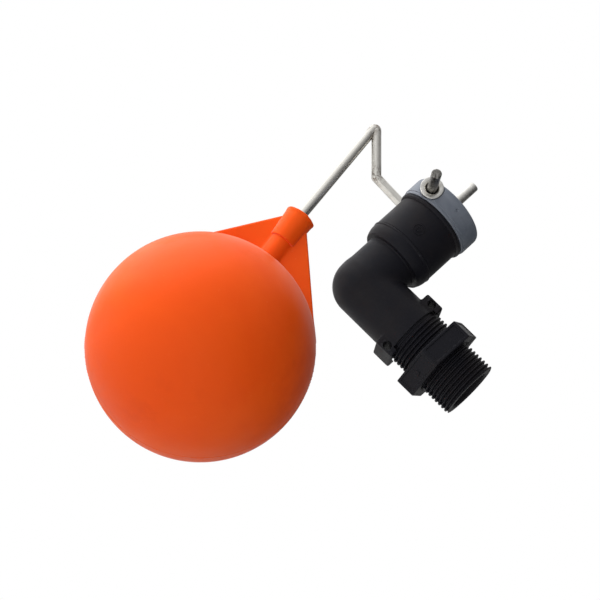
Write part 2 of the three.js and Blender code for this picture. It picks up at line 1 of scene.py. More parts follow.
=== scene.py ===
# The looks of the float valve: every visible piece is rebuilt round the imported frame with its
# real edges, fillets and thread, and gets a procedural material. Shapes are worked out in
# millimetres in the valve's own frame: the inlet thread along +X, the barrel up +Z from the
# crossing of the two bores.
import math

import bmesh
import bpy
import numpy as np
from mathutils import Matrix, Vector


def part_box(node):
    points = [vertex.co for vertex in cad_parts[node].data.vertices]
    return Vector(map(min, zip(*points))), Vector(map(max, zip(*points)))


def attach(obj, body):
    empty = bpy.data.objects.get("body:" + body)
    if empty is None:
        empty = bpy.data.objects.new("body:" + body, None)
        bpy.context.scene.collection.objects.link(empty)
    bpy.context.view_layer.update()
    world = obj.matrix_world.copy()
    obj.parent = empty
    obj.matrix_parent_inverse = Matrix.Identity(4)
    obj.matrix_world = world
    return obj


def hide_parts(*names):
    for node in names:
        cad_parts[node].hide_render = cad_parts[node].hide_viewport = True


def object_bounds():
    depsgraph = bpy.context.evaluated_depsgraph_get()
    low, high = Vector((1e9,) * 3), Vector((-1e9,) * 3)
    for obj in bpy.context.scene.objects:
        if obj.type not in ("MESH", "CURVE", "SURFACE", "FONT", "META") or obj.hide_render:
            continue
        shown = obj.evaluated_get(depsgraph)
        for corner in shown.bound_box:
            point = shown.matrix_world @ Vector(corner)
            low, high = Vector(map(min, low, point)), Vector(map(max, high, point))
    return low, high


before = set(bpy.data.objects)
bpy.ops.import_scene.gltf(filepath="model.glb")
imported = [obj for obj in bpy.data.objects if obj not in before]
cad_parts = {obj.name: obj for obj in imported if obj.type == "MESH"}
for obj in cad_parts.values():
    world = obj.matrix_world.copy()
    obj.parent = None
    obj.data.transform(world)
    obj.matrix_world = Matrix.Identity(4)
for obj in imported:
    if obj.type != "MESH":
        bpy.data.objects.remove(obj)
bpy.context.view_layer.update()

MM = 0.001


def middle(node):
    """Centre of a CAD node's box, in metres."""
    low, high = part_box(node)
    return (low + high) / 2


# The valve's own origin in the row frame, in metres, and its main measures in millimetres
ORIGIN = np.array([middle("barrel").x, 0.0, middle("locknut").z])

LEG_RADIUS = 16.3
NECK_RADIUS = 16.0
BORE_RADIUS = 12.0
THREAD_RADIUS = 16.62
THREAD_PITCH = 25.4 / 11
THREAD_DEPTH = 0.64 * THREAD_PITCH
THREAD_START = 36.0
INLET_END = 78.5
LUG_START = 27.5
LUG_END = 38.8
LUG_REACH = 19.4
LUG_HALF_WIDTH = 9.0
LUG_HOLE_RADIUS = 2.2
LUG_HOLE_INSET = 2.9
NUT_START = 49.1
NUT_HEIGHT = 11.3
NUT_FLATS = 43.0
NUT_TURN = math.radians(24)
NUT_CHAMFER_RADIUS = 24.9
GATE_FACE = 0
GATE_RADIUS = 1.5

COLLAR_BOTTOM = 21.3
CONE_TOP = COLLAR_BOTTOM + 4
SOCKET_RADIUS = 17.2
SOCKET_FLOOR = 24
SEAM = 29.4
LIP_BOTTOM = 49.4
RING_BOTTOM = 52.2
RING_TOP = 65.05
BARREL_RADIUS = 20.2
BARREL_BORE = 16.0
GUIDE_BORE = 17.4
GUIDE_RADIUS = 17.2
GUIDE_HEIGHT = 46.8
LIP_RADIUS = 21.5
RING_RADIUS = 22.1
RING_BORE = 17.0
SPIGOT_RADIUS = 19.0
SPIGOT_TOP = 54.4
FLOOR_HEIGHT = 30.5
DIMPLE_ANGLE = math.radians(-70)
DIMPLE_HEIGHT = 59.7

PIVOT = np.array([-10.3, 0.0, 58.8])
ROD_RADIUS = 2.75
BUSH_FLANGE_RADIUS = 6.3
BUSH_HOLE_RADIUS = 3.85
BUSH_FACE = 20.8
STEM_TOP = 85.0
LIFT = 8.533
SEAT_LIP = 32.4
DISC_BOTTOM = SEAT_LIP + 0.15 + LIFT
FINGER_ANGLE = math.radians(22.5)

SHAFT_END = -40.6
ARM_PLANE = 29.5
# Straights of the arm, and from its end to the ball's centre, as (length, degrees) in the X-Z plane
ARM_FOOT = (36.14, 176.96)
ARM_RISE = (31.26, 134.9)
ARM_DROP = (69.78, 278.41)
FLOAT_REACH = (93.4, 280.6)
BEND_RADII = (7.0, 0.4, 0.95, 20.0)
BEND_MARK_REACH = 9.0
BALL_RADIUS = 61.5
BALL_STEM_RADIUS = 6.3
SLEEVE_START = 75.1
SLEEVE_TOP = 93.3
WEB_TOP = 87.5
WEB_CORNER = 8.0
WEB_HALF = 2.0
ROD_END = 66.0
POCKET_RADIUS = 4.5
POCKET_LOW = 74.8
POCKET_HIGH = 89.3


# ---------------------------------------------------------------- meshes

def new_piece(name, points, faces, material, body, normals=None):
    """A mesh object from arrays: points in valve millimetres, faces of equal length."""
    mesh = bpy.data.meshes.new(name)
    faces = np.asarray(faces, dtype=np.int32)
    corners = faces.shape[1]
    mesh.vertices.add(len(points))
    mesh.vertices.foreach_set("co", (np.asarray(points) * MM + ORIGIN).astype(np.float32).ravel())
    mesh.loops.add(faces.size)
    mesh.loops.foreach_set("vertex_index", faces.ravel())
    mesh.polygons.add(len(faces))
    mesh.polygons.foreach_set("loop_start", np.arange(0, faces.size, corners, dtype=np.int32))
    mesh.update(calc_edges=True)
    mesh.validate()
    mesh.shade_smooth()
    if normals is None:
        mesh.set_sharp_from_angle(angle=math.radians(32))
    else:
        mesh.normals_split_custom_set_from_vertices(normals.tolist())
    piece = bpy.data.objects.new(name, mesh)
    bpy.context.scene.collection.objects.link(piece)
    mesh.materials.append(material)
    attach(piece, body)
    return piece


def stand_in(piece, node):
    """Hides the CAD node that a piece stands in for."""
    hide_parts(node)


def arc(centre, radius, start, end, steps=6):
    """Points of an arc as [radius, height] pairs, angles in degrees."""
    angles = np.radians(np.linspace(start, end, steps + 1))
    return [[centre[0] + radius * math.cos(a), centre[1] + radius * math.sin(a)] for a in angles]


def rounded(profile, radii, steps=4):
    """Rounds the corners of a closed profile; a radius of 0 keeps the corner."""
    count = len(profile)
    result = []
    for i, (corner, radius) in enumerate(zip(profile, radii)):
        corner = np.array(corner, float)
        if radius == 0:
            result.append(corner.tolist())
            continue
        back = np.array(profile[i - 1], float) - corner
        ahead = np.array(profile[(i + 1) % count], float) - corner
        back /= np.linalg.norm(back)
        ahead /= np.linalg.norm(ahead)
        half = math.acos(max(-1.0, min(1.0, float(back @ ahead)))) / 2
        entry = corner + back * radius / math.tan(half)
        leave = corner + ahead * radius / math.tan(half)
        for t in np.linspace(0, 1, steps + 1):
            result.append(((1 - t) ** 2 * entry + 2 * t * (1 - t) * corner + t ** 2 * leave).tolist())
    return result


def band_quads(segments, count):
    """Quads of a band that closes on itself both ways, numbered segment by segment."""
    here = np.arange(segments * count).reshape(segments, count)
    beside = np.roll(here, -1, axis=0)
    quads = np.stack([here, beside, np.roll(beside, -1, axis=1), np.roll(here, -1, axis=1)], axis=-1)
    return quads.reshape(-1, 4)


def wrapped(radii, heights):
    """Points and quads of rings about Z. Both arrays are segments by profile points, and the
    profile closes on itself and climbs on the outside."""
    segments, count = radii.shape
    angles = np.linspace(0, 2 * math.pi, segments, endpoint=False)[:, None]
    points = np.stack([radii * np.cos(angles), radii * np.sin(angles), heights], axis=-1)
    return points.reshape(-1, 3), band_quads(segments, count)


def turned_piece(name, profile, material, body, matrix=None, offset=(0, 0, 0), segments=96):
    """A piece turned about Z from a closed profile of [radius, height], then turned and shifted."""
    profile = np.asarray(profile, float)
    radii = np.tile(profile[:, 0], (segments, 1))
    heights = np.tile(profile[:, 1], (segments, 1))
    points, faces = wrapped(radii, heights)
    matrix = np.eye(3) if matrix is None else matrix
    piece = new_piece(name, place(points, matrix, offset), faces, material, body)
    weld(piece)
    return piece


def weld(piece):
    """Merges points that fall together, as on a turned piece's axis, and evens the shading."""
    made = bmesh.new()
    made.from_mesh(piece.data)
    bmesh.ops.remove_doubles(made, verts=made.verts, dist=2e-6)
    bmesh.ops.dissolve_degenerate(made, edges=made.edges, dist=1e-6)
    made.to_mesh(piece.data)
    made.free()
    piece.data.set_sharp_from_angle(angle=math.radians(32))
    evened = piece.modifiers.new("even_shading", "WEIGHTED_NORMAL")
    evened.keep_sharp = True
    evened.weight = 80


def place(points, matrix, offset):
    """Points turned, then shifted."""
    return points @ np.asarray(matrix, float).T + np.asarray(offset, float)


Z_TO_X = np.array([[0, 0, 1], [0, 1, 0], [-1, 0, 0]])
Z_TO_Y = np.array([[1, 0, 0], [0, 0, 1], [0, -1, 0]])


def turn_y(angle):
    """Rotation about +Y as a 3x3 array."""
    return np.array(Matrix.Rotation(angle, 3, "Y"))


# Solids given by a signed distance in millimetres, negative inside, at an array of points p

def surface_net(field, low, high, cell):
    """A closed quad mesh of the zero level of field inside a box."""
    low, high = np.array(low, float), np.array(high, float)
    counts = np.ceil((high - low) / cell).astype(int) + 1
    axes = [low[i] + cell * np.arange(counts[i]) for i in range(3)]
    grid = np.stack(np.meshgrid(*axes, indexing="ij"), axis=-1)
    distance = np.concatenate([field(slab.reshape(-1, 3)) for slab in grid]).reshape(counts)
    inside = distance < 0
    corners = [(i, j, k) for i in (0, 1) for j in (0, 1) for k in (0, 1)]
    spans = counts - 1
    total = np.zeros(spans, dtype=np.int8)
    for i, j, k in corners:
        total += inside[i:i + spans[0], j:j + spans[1], k:k + spans[2]]
    cells = np.argwhere((total > 0) & (total < 8))
    number = np.full(spans, -1, dtype=np.int32)
    number[tuple(cells.T)] = np.arange(len(cells))
    gathered = np.zeros((len(cells), 3))
    crossings = np.zeros(len(cells))
    for start in corners:
        for axis in range(3):
            if start[axis]:
                continue
            end = list(start)
            end[axis] = 1
            first = distance[tuple((cells + start).T)]
            second = distance[tuple((cells + end).T)]
            crossing = (first < 0) != (second < 0)
            share = np.where(crossing, first / np.where(crossing, first - second, 1), 0)
            spot = np.tile(np.array(start, float), (len(cells), 1))
            spot[:, axis] += share
            gathered += spot * crossing[:, None]
            crossings += crossing
    points = low + cell * (cells + gathered / crossings[:, None])
    faces = []
    for axis in range(3):
        lower = [slice(1, -1)] * 3
        lower[axis] = slice(0, -1)
        upper = list(lower)
        upper[axis] = slice(1, None)
        here = inside[tuple(lower)]
        there = inside[tuple(upper)]
        edges = np.argwhere(here != there)
        leaving = here[tuple(edges.T)]
        edges += np.array([0 if i == axis else 1 for i in range(3)])
        second, third = (axis + 1) % 3, (axis + 2) % 3
        loop = []
        for step_second, step_third in ((-1, -1), (0, -1), (0, 0), (-1, 0)):
            neighbour = edges.copy()
            neighbour[:, second] += step_second
            neighbour[:, third] += step_third
            loop.append(number[tuple(neighbour.T)])
        quads = np.stack(loop, axis=1)
        quads[~leaving] = quads[~leaving][:, ::-1]
        faces.append(quads)
    return points, np.concatenate(faces)


def slope(field, points, step=0.02):
    """Gradient of a field by central differences."""
    result = np.empty_like(points)
    for axis in range(3):
        shift = np.zeros(3)
        shift[axis] = step
        result[:, axis] = (field(points + shift) - field(points - shift)) / (2 * step)
    return result


def solid_piece(name, field, low, high, cell, material, body):
    """A piece meshed from a signed distance, its points settled on the true surface."""
    points, faces = surface_net(field, low, high, cell)
    for _ in range(4):
        gradient = slope(field, points)
        length = np.maximum((gradient ** 2).sum(axis=1), 0.05)
        move = -gradient * (field(points) / length)[:, None]
        reach = np.linalg.norm(move, axis=1, keepdims=True)
        points += move * np.minimum(1, 0.6 * cell / np.maximum(reach, 1e-9))
    normals = slope(field, points, 0.12 * cell)
    normals /= np.maximum(np.linalg.norm(normals, axis=1, keepdims=True), 1e-9)
    return new_piece(name, points, faces, material, body, normals)


def union(a, b, blend=0.0):
    """Union with a fillet of about the given size."""
    if blend == 0:
        return np.minimum(a, b)
    h = np.clip(0.5 + 0.5 * (b - a) / blend, 0, 1)
    return b * (1 - h) + a * h - blend * h * (1 - h)


def common(a, b, blend=0.0):
    """Intersection with a rounded edge."""
    return -union(-a, -b, blend)


def without(a, b, blend=0.0):
    """a less b with a rounded edge."""
    return common(a, -b, blend)


def ball(p, centre, radius):
    """A sphere."""
    return np.linalg.norm(p - np.asarray(centre, float), axis=1) - radius


def bar(p, axis, radius, centre=(0, 0, 0)):
    """An endless round bar along an axis."""
    across = [i for i in range(3) if i != axis]
    return np.hypot(p[:, across[0]] - centre[across[0]], p[:, across[1]] - centre[across[1]]) - radius


def between(value, low, high):
    """A slab."""
    return np.abs(value - (low + high) / 2) - (high - low) / 2


def block(p, centre, half, edge):
    """A box with rounded edges."""
    past = np.abs(p - np.asarray(centre, float)) - (np.asarray(half, float) - edge)
    return np.linalg.norm(np.maximum(past, 0), axis=1) + np.minimum(past.max(axis=1), 0) - edge


# ---------------------------------------------------------------- materials

class Graph:
    """A node material on a Principled shader, with short helpers for procedural detail."""

    def __init__(self, name, roughness, metallic=0.0):
        self.material = bpy.data.materials.new(name)
        self.material.use_nodes = True
        self.tree = self.material.node_tree
        self.shader = self.tree.nodes["Principled BSDF"]
        self.shader.inputs["Roughness"].default_value = roughness
        self.shader.inputs["Metallic"].default_value = metallic
        self.place = self.node("ShaderNodeTexCoord").outputs["Object"]

    def node(self, kind, **settings):
        made = self.tree.nodes.new(kind)
        for key, value in settings.items():
            setattr(made, key, value)
        return made

    def link(self, source, target):
        self.tree.links.new(source, target)

    def set(self, target, value):
        """Links a socket or sets a plain value."""
        if isinstance(value, bpy.types.NodeSocket):
            self.link(value, target)
        else:
            target.default_value = value

    def stretched(self, scale, source=None):
        """Coordinates scaled by three factors."""
        mapping = self.node("ShaderNodeMapping")
        mapping.inputs["Scale"].default_value = scale
        self.link(source or self.place, mapping.inputs["Vector"])
        return mapping.outputs["Vector"]

    def noise(self, scale, detail=3.0, rough=0.5, source=None, distortion=0.0):
        made = self.node("ShaderNodeTexNoise")
        made.inputs["Scale"].default_value = scale
        made.inputs["Detail"].default_value = detail
        made.inputs["Roughness"].default_value = rough
        made.inputs["Distortion"].default_value = distortion
        self.link(source or self.place, made.inputs["Vector"])
        return made.outputs["Fac"]

    def spread(self, value, low, high, to_low=0.0, to_high=1.0):
        """Maps low..high to to_low..to_high, clamped and smooth."""
        made = self.node("ShaderNodeMapRange", interpolation_type="SMOOTHSTEP")
        self.set(made.inputs["Value"], value)
        for key, number in (("From Min", low), ("From Max", high), ("To Min", to_low), ("To Max", to_high)):
            made.inputs[key].default_value = number
        return made.outputs["Result"]

    def math(self, operation, first, second=0.0):
        made = self.node("ShaderNodeMath", operation=operation)
        self.set(made.inputs[0], first)
        self.set(made.inputs[1], second)
        return made.outputs[0]

    def mix(self, factor, first, second):
        made = self.node("ShaderNodeMix", data_type="RGBA")
        self.set(made.inputs[0], factor)
        self.set(made.inputs[6], colour(first) if isinstance(first, tuple) else first)
        self.set(made.inputs[7], colour(second) if isinstance(second, tuple) else second)
        return made.outputs[2]

    def edges(self, low, high):
        """1 on worn outer edges, from the mesh's pointiness."""
        return self.spread(self.node("ShaderNodeNewGeometry").outputs["Pointiness"], low, high)

    def finish(self, base, roughness, height, depth):
        """Joins the colour, roughness and height. depth is in metres."""
        self.set(self.shader.inputs["Base Color"], colour(base) if isinstance(base, tuple) else base)
        self.set(self.shader.inputs["Roughness"], roughness)
        bump = self.node("ShaderNodeBump")
        bump.inputs["Strength"].default_value = 1.0
        bump.inputs["Distance"].default_value = depth
        self.link(height, bump.inputs["Height"])
        self.link(bump.outputs["Normal"], self.shader.inputs["Normal"])
        return self.material


def colour(rgb):
    return (*rgb, 1.0)


def moulded_black():
    """Black nylon: brown and blue tints, dull patches, fine moulding grain, greyed edges."""
    g = Graph("black_nylon", 0.5)
    patches = g.noise(38, 4, 0.6)
    tint = g.mix(g.spread(patches, 0.38, 0.62), (0.0074, 0.0074, 0.0108), (0.0106, 0.0092, 0.0112))
    specks = g.spread(g.noise(900, 2, 0.7), 0.66, 0.74)
    dusty = g.mix(g.math("MULTIPLY", specks, 0.35), tint, (0.026, 0.025, 0.025))
    worn = g.mix(g.math("MULTIPLY", g.edges(0.52, 0.60), 0.55), dusty, (0.028, 0.028, 0.032))
    rough = g.spread(g.noise(70, 5, 0.65), 0.3, 0.7, 0.40, 0.56)
    grain = g.math("ADD", g.noise(1500, 2, 0.6), g.math("MULTIPLY", g.noise(160, 3, 0.5), 2.0))
    g.shader.inputs["Specular IOR Level"].default_value = 0.15
    return g.finish(worn, rough, grain, 0.00003)


def moulded_grey():
    """Slate-grey nylon with faint flow marks and scuffs."""
    g = Graph("grey_nylon", 0.5)
    flow = g.noise(30, 4, 0.55, g.stretched((1, 1, 3)), 1.2)
    tint = g.mix(g.spread(flow, 0.35, 0.65), (0.105, 0.122, 0.155), (0.145, 0.162, 0.195))
    scuffs = g.spread(g.noise(260, 5, 0.7, g.stretched((1, 1, 6))), 0.60, 0.70)
    scuffed = g.mix(g.math("MULTIPLY", scuffs, 0.3), tint, (0.26, 0.28, 0.31))
    worn = g.mix(g.math("MULTIPLY", g.edges(0.52, 0.60), 0.5), scuffed, (0.33, 0.35, 0.38))
    rough = g.spread(g.noise(90, 4, 0.6), 0.3, 0.7, 0.42, 0.58)
    return g.finish(worn, rough, g.noise(1300, 3, 0.6), 0.00003)


def float_orange():
    """Blow-moulded orange polyethylene: soft mottling, a slight orange peel and light scuffs."""
    g = Graph("orange_polyethylene", 0.45)
    clouds = g.noise(14, 4, 0.55, distortion=0.6)
    tint = g.mix(g.spread(clouds, 0.35, 0.65), (0.84, 0.084, 0.0055), (0.88, 0.100, 0.007))
    smudge = g.spread(g.noise(22, 5, 0.6, g.stretched((1, 1.6, 1))), 0.56, 0.72)
    smudged = g.mix(g.math("MULTIPLY", smudge, 0.22), tint, (0.62, 0.050, 0.006))
    specks = g.spread(g.noise(700, 2, 0.6), 0.70, 0.76)
    dusty = g.mix(g.math("MULTIPLY", specks, 0.25), smudged, (0.95, 0.22, 0.07))
    rough = g.spread(g.noise(45, 5, 0.6), 0.3, 0.7, 0.38, 0.50)
    peel = g.math("ADD", g.noise(420, 2, 0.5), g.math("MULTIPLY", g.noise(60, 2, 0.5), 3.0))
    g.shader.inputs["Specular IOR Level"].default_value = 0.12
    g.shader.inputs["Subsurface Weight"].default_value = 0.08
    g.shader.inputs["Subsurface Radius"].default_value = (0.004, 0.0012, 0.0004)
    g.shader.inputs["Subsurface Scale"].default_value = 1.0
    return g.finish(dusty, rough, peel, 0.00004)


def drawn_steel():
    """Stainless rod with drawing lines along it and brown marks at the sharp bends. Its shaft end is
    painted near black with speckles, a painted dark reflection of a mirror-like end. It reads the 'along'
    and 'worked' attributes of the piece."""
    g = Graph("stainless_rod", 0.4, 1.0)
    along = g.node("ShaderNodeAttribute", attribute_name="along").outputs["Vector"]
    lines = g.noise(1.0, 3, 0.6, g.stretched((1100, 1100, 10), along))
    stains = g.spread(g.noise(1.0, 5, 0.6, g.stretched((160, 160, 60), along)), 0.52, 0.72)
    tint = g.mix(g.spread(lines, 0.3, 0.7), (0.70, 0.68, 0.635), (0.85, 0.83, 0.785))
    worked = g.node("ShaderNodeAttribute", attribute_name="worked").outputs["Fac"]
    bruises = g.spread(g.noise(1.0, 5, 0.7, g.stretched((500, 500, 350), along)), 0.42, 0.56)
    rod_colour = g.mix(g.math("MULTIPLY", stains, 0.30), tint, (0.27, 0.23, 0.19))
    bruised = g.math("MULTIPLY", g.math("MULTIPLY", worked, bruises), 0.9)
    rod_colour = g.mix(bruised, rod_colour, (0.13, 0.085, 0.06))
    split = g.node("ShaderNodeSeparateXYZ")
    g.link(along, split.inputs[0])
    # Painted reflection: the shaft end is painted near black with speckles, standing in for the dark mirror
    # image of a polished end.
    painted_dark_end = g.spread(split.outputs["Z"], 0.013, 0.019, 1.0, 0.0)
    painted_end_speckle = g.spread(g.noise(1.0, 4, 0.7, g.stretched((1300, 1300, 900), along)), 0.42, 0.60, 0.55, 0.92)
    rod_colour = g.mix(g.math("MULTIPLY", painted_dark_end, painted_end_speckle), rod_colour, (0.030, 0.027, 0.026))
    rough = g.spread(lines, 0.3, 0.7, 0.31, 0.36)
    return g.finish(rod_colour, rough, lines, 0.000002)


def turned_steel():
    """Stainless turned or pressed pieces: lighter and duller patches under a fine grain."""
    g = Graph("stainless", 0.3, 1.0)
    grain = g.noise(1100, 3, 0.6)
    tint = g.mix(g.spread(g.noise(240, 4, 0.6), 0.3, 0.7), (0.66, 0.645, 0.61), (0.86, 0.845, 0.81))
    rough = g.spread(g.noise(420, 4, 0.6), 0.3, 0.7, 0.24, 0.42)
    return g.finish(tint, rough, grain, 0.00002)


def white_acetal():
    """White moulded acetal, a little yellowed in patches."""
    g = Graph("white_acetal", 0.4)
    tint = g.mix(g.spread(g.noise(60, 4, 0.6), 0.35, 0.65), (0.66, 0.65, 0.60), (0.76, 0.755, 0.72))
    rough = g.spread(g.noise(150, 4, 0.6), 0.3, 0.7, 0.34, 0.5)
    return g.finish(tint, rough, g.noise(1200, 2, 0.6), 0.00002)


def black_rubber():
    """Dull black rubber."""
    g = Graph("black_rubber", 0.8)
    tint = g.mix(g.spread(g.noise(120, 4, 0.6), 0.35, 0.65), (0.010, 0.010, 0.011), (0.022, 0.021, 0.021))
    rough = g.spread(g.noise(300, 3, 0.6), 0.3, 0.7, 0.7, 0.9)
    return g.finish(tint, rough, g.noise(900, 3, 0.6), 0.00003)


def turned_brass():
    """Brass with fine level lines."""
    g = Graph("brass", 0.35, 1.0)
    lines = g.noise(300, 3, 0.6, g.stretched((1, 1, 8)))
    tint = g.mix(g.spread(lines, 0.3, 0.7), (0.50, 0.34, 0.12), (0.66, 0.47, 0.20))
    return g.finish(tint, g.spread(lines, 0.3, 0.7, 0.26, 0.4), lines, 0.00002)


BLACK = moulded_black()
GREY = moulded_grey()
ORANGE = float_orange()
ROD = drawn_steel()
STEEL = turned_steel()
ACETAL = white_acetal()
RUBBER = black_rubber()
BRASS = turned_brass()


# ---------------------------------------------------------------- the valve body

def heeled_bar(p, radius):
    """A bar along +X that ends in a half ball about the origin."""
    return np.where(p[:, 0] < 0, ball(p, (0, 0, 0), radius), bar(p, 0, radius))


def elbow_field(p):
    """The cast elbow: a leg with a rounded heel, a neck, a collar and two lugs."""
    x, y, z = p.T
    radius = np.hypot(x, y)
    leg = common(heeled_bar(p, LEG_RADIUS), x - THREAD_START, 0.6)
    neck = common(bar(p, 2, NECK_RADIUS), between(z, 0, COLLAR_BOTTOM + 2), 4.0)
    cone = (radius - BARREL_RADIUS) * 0.925 - (z - CONE_TOP) * 0.37
    collar = common(common(radius - BARREL_RADIUS, cone, 0.8), between(z, COLLAR_BOTTOM, SEAM), 0.7)
    bead = np.hypot(radius - BARREL_RADIUS + 0.05, np.maximum(np.abs(z - SEAM + 0.55) - 0.2, 0)) - 0.42
    lug_height = LUG_REACH - BORE_RADIUS
    lug_middle = ((LUG_START + LUG_END) / 2, 0, (LUG_REACH + BORE_RADIUS) / 2)
    lug_half = ((LUG_END - LUG_START) / 2, LUG_HALF_WIDTH, lug_height / 2)
    folded = np.stack([x, y, np.abs(z)], axis=1)
    lug = block(folded, lug_middle, lug_half, 1.1)
    nib = ball(p, (37.4, -LUG_HALF_WIDTH + 0.1, -13.8), 0.9)
    outside = union(union(leg, neck, 1.6), union(collar, bead, 0.25), 1.3)
    outside = union(union(outside, lug, 1.5), nib, 0.5)
    pocket = common(bar(p, 0, THREAD_RADIUS + 0.5), THREAD_START - x)
    hole = bar(folded, 1, LUG_HOLE_RADIUS, (lug_middle[0], 0, LUG_REACH - LUG_HOLE_INSET))
    neck_bore = common(bar(p, 2, BORE_RADIUS - 0.3), -z)
    socket = common(bar(p, 2, SOCKET_RADIUS), SOCKET_FLOOR - z)
    outside = without(without(outside, pocket, 0.3), hole, 0.5)
    return without(outside, union(union(heeled_bar(p, BORE_RADIUS), neck_bore), socket), 0.3)


def thread_radius(turns):
    """Radius of the thread form at a place counted in turns along it."""
    height = np.interp(np.mod(turns, 1), [0, 0.16, 0.47, 0.66, 1], [0, 0, 1, 1, 0])
    return THREAD_RADIUS - THREAD_DEPTH * (1 - height)


def inlet_thread():
    """The threaded inlet as rings of points that follow the helix, so the crests stay crisp."""
    segments = 144
    start, end, lead, fade = THREAD_START - 0.03, INLET_END, 0.5, 2.2
    mouth_chamfer = 0.8
    form = [0, 0.08, 0.16, 0.26, 0.37, 0.44, 0.47, 0.5, 0.63, 0.66, 0.7, 0.78, 0.89]
    turns = math.ceil((end - start) / THREAD_PITCH) + 2
    stations = np.concatenate([k + np.array(form) for k in range(-1, turns)])
    lag = np.linspace(0, 1, segments, endpoint=False)[:, None]
    along = np.clip(start + (stations[None, :] + lag) * THREAD_PITCH, start, end)
    radius = thread_radius((along - start) / THREAD_PITCH - lag)
    run_in = np.clip((along - start - 0.4) / fade, 0, 1)
    radius = THREAD_RADIUS - THREAD_DEPTH + (radius - THREAD_RADIUS + THREAD_DEPTH) * run_in
    radius = np.minimum(radius, THREAD_RADIUS - lead + (end - along))
    mouth = np.array([[end, BORE_RADIUS + mouth_chamfer], [end - mouth_chamfer, BORE_RADIUS],
                      [start, BORE_RADIUS]])
    along = np.concatenate([along, np.tile(mouth[:, 0], (segments, 1))], axis=1)
    radius = np.concatenate([radius, np.tile(mouth[:, 1], (segments, 1))], axis=1)
    points, faces = wrapped(radius, along)
    piece = new_piece("inlet_thread", place(points, Z_TO_X, (0, 0, 0)), faces, BLACK, "housing")
    weld(piece)
    return piece


def locknut_field(p):
    """Hexagonal nut along X: faces with a shallow raised border and a gate mark on one of them."""
    border, panel_half, panel_depth = 1.5, 10.6, 0.45
    x = p[:, 0] - NUT_START
    across = np.stack([p[:, 1:] @ (math.cos(a), math.sin(a)) for a in face_angles()])
    nearest = across.max(axis=0)
    face = across.argmax(axis=0)
    angles = np.array(face_angles())[face]
    sideways = -p[:, 1] * np.sin(angles) + p[:, 2] * np.cos(angles)
    hexagon = nearest - NUT_FLATS / 2
    panel = common(between(x, border, NUT_HEIGHT - border), np.abs(sideways) - panel_half, 0.8)
    hexagon = without(hexagon, common(panel, NUT_FLATS / 2 - panel_depth - nearest, 0.2), 0.2)
    radius = np.hypot(p[:, 1], p[:, 2])
    from_middle = np.abs(x - NUT_HEIGHT / 2)
    chamfer = (radius - NUT_CHAMFER_RADIUS) * 0.6 + (from_middle - NUT_HEIGHT / 2) * 0.8
    nut = common(common(hexagon, between(x, 0, NUT_HEIGHT), 0.5), chamfer, 0.3)
    from_gate = np.where(face == GATE_FACE, np.hypot(from_middle, sideways), NUT_FLATS)
    pip = common(from_gate - GATE_RADIUS, nearest - NUT_FLATS / 2 - 0.1, 0.2)
    nut = union(nut, pip, 0.3)
    inset = NUT_HEIGHT / 2 - from_middle
    hole = union(radius - THREAD_RADIUS - 0.3, (radius - THREAD_RADIUS - 1.3 + inset) * 0.7)
    return without(nut, hole, 0.25)


def face_angles():
    """Directions of the nut's six faces in the Y-Z plane; a corner points 24 degrees below -Y."""
    corner = math.pi + NUT_TURN
    return [corner + math.radians(30 + 60 * i) for i in range(6)]


def build_valve_body():
    elbow = solid_piece("elbow_body", elbow_field, (-22, -22, -21), (40, 22, 31), 0.5, BLACK, "housing")
    stand_in(elbow, "valve_body")
    inlet_thread()
    low = (NUT_START - 1, -26, -26)
    high = (NUT_START + NUT_HEIGHT + 1, 26, 26)
    nut = solid_piece("hex_locknut", locknut_field, low, high, 0.42, BLACK, "nut")
    stand_in(nut, "locknut")


# ---------------------------------------------------------------- barrel and head ring

def barrel_profile():
    """Barrel with its grooved spigot, rounded lip bead and the upper spigot for the ring."""
    spigot, groove_floor, waterway, foot = 17.0, 15.2, 12.6, 24.3
    groove = [[spigot, foot + 1.2], [groove_floor, foot + 1.2],
              [groove_floor, foot + 3.4], [spigot, foot + 3.4]]
    lip_middle = (LIP_BOTTOM + RING_BOTTOM) / 2
    lip_round = (RING_BOTTOM - LIP_BOTTOM) / 2 - 0.05
    lip = arc((LIP_RADIUS - lip_round, lip_middle), lip_round, -75, 85, 10)
    rim = [[SPIGOT_RADIUS, RING_BOTTOM - 0.04], [SPIGOT_RADIUS, SPIGOT_TOP], [GUIDE_BORE, SPIGOT_TOP]]
    inside = [[GUIDE_BORE, GUIDE_HEIGHT], [BARREL_BORE, GUIDE_HEIGHT], [BARREL_BORE, FLOOR_HEIGHT]]
    foot_run = [[waterway, FLOOR_HEIGHT], [waterway, foot], [spigot, foot]]
    seam = [[spigot, SEAM + 0.04], [BARREL_RADIUS - 0.35, SEAM + 0.04], [BARREL_RADIUS, SEAM + 0.4]]
    return foot_run + groove + seam + [[BARREL_RADIUS, LIP_BOTTOM]] + lip + rim + inside


def ring_mark(angle, height, radius, width, proud):
    """A small raised ring on the barrel's side, following its curve."""
    segments, count = 48, 10
    sweep = np.linspace(0, 2 * math.pi, segments, endpoint=False)[:, None]
    section = np.linspace(0, 2 * math.pi, count, endpoint=False)[None, :]
    sunk = 0.25
    reach = radius + width / 2 * np.cos(section)
    stand = BARREL_RADIUS - sunk + (proud + sunk) * np.maximum(np.sin(section), -0.3)
    turn = math.radians(angle) + reach * np.cos(sweep) / BARREL_RADIUS
    points = np.stack(np.broadcast_arrays(
        stand * np.cos(turn), stand * np.sin(turn), height + reach * np.sin(sweep)), axis=-1)
    facing_out = band_quads(segments, count)[:, [0, 3, 2, 1]]
    return points.reshape(-1, 3), facing_out


